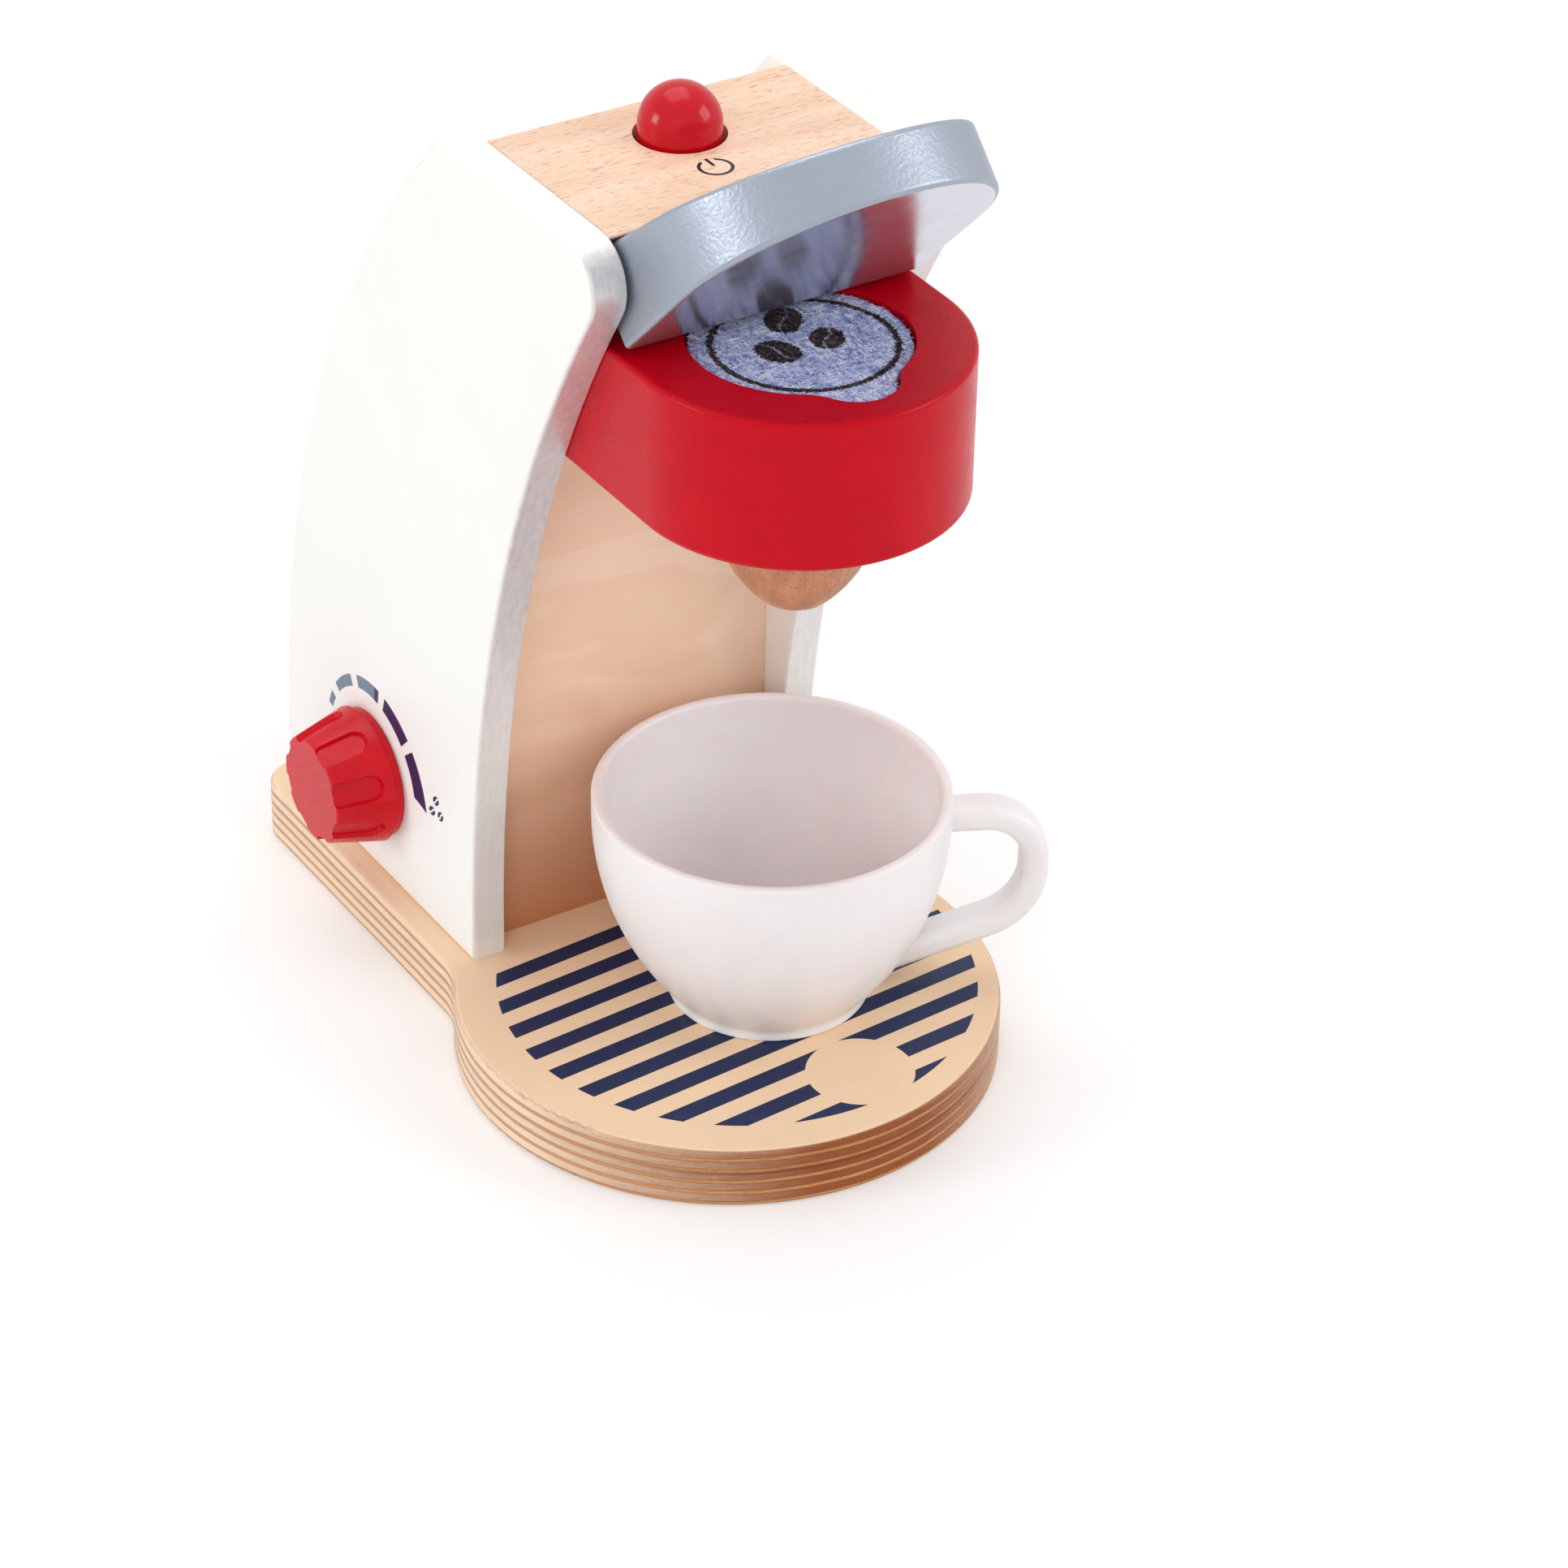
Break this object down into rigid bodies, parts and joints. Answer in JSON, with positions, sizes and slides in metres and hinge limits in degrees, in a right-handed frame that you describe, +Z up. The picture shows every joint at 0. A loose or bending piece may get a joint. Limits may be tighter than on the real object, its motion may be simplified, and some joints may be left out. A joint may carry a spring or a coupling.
{
  "type": "toy coffee maker",
  "caption": "Wooden toy coffee maker with curved side panels, a hinged lid over a felt pad, a push button, a dial and a cup on a round striped stand.",
  "frame": {"origin": "under the middle of the round cup stand, on the underside of the base board", "axes": "+Z up, -Y to the front where the cup stands, the dial on the -X side"},
  "size_m": [0.1283, 0.195, 0.2495],
  "materials": {
    "plywood": "birch plywood under a thin clear varnish",
    "beech": "beech under a thin clear varnish",
    "white_paint": "solid wood under satin white paint",
    "silver_paint": "solid wood under satin silver paint",
    "red_paint": "solid wood under satin red paint",
    "red_plastic": "moulded plastic, satin",
    "white_plastic": "moulded plastic, satin",
    "nylon": "plain nylon",
    "ring_rubber": "thin sheet rubber",
    "felt": "printed wool felt",
    "steel": "zinc-plated or drawn steel"
  },
  "bodies": {
    "machine": {"base_board": "plywood", "base_screws": "steel", "left_side_panel": "white_paint", "right_side_panel": "white_paint", "front_board": "plywood", "back_board": "plywood", "top_block": "beech", "brew_head": "red_paint", "coffee_pad": "felt", "nozzle": "beech", "frame_dowels": "beech", "left_hinge_pin": "steel", "right_hinge_pin": "steel", "hinge_washers": "nylon", "button_spring": "steel", "dial_friction_ring": "ring_rubber"},
    "lid": {"lid": "silver_paint"},
    "button": {"power_button": "red_paint"},
    "dial": {"dial_knob": "red_plastic", "dial_washer": "steel", "dial_screw": "steel"},
    "cup": {"cup": "white_plastic"}
  },
  "joints": [
    {"name": "lid_hinge", "type": "hinge", "parent": "machine", "child": "lid", "pos_m": [0, -0.0065, 0.2085], "axis": [-1, 0, 0], "range_deg": [-45.7, 1.5]},
    {"name": "button_press", "type": "slide", "parent": "machine", "child": "button", "axis": [0, 0, -1], "range_m": [0, 0.004], "stiffness_N_per_m": 300, "deforming": ["button_spring"]},
    {"name": "dial_turn", "type": "hinge", "parent": "machine", "child": "dial", "pos_m": [-0.045, 0.0835, 0.0409], "axis": [-1, 0, 0], "continuous": true},
    {"name": "cup_lift", "type": "slide", "parent": "machine", "child": "cup", "axis": [0, 0, 1], "range_m": [0, 0.04]}
  ]
}
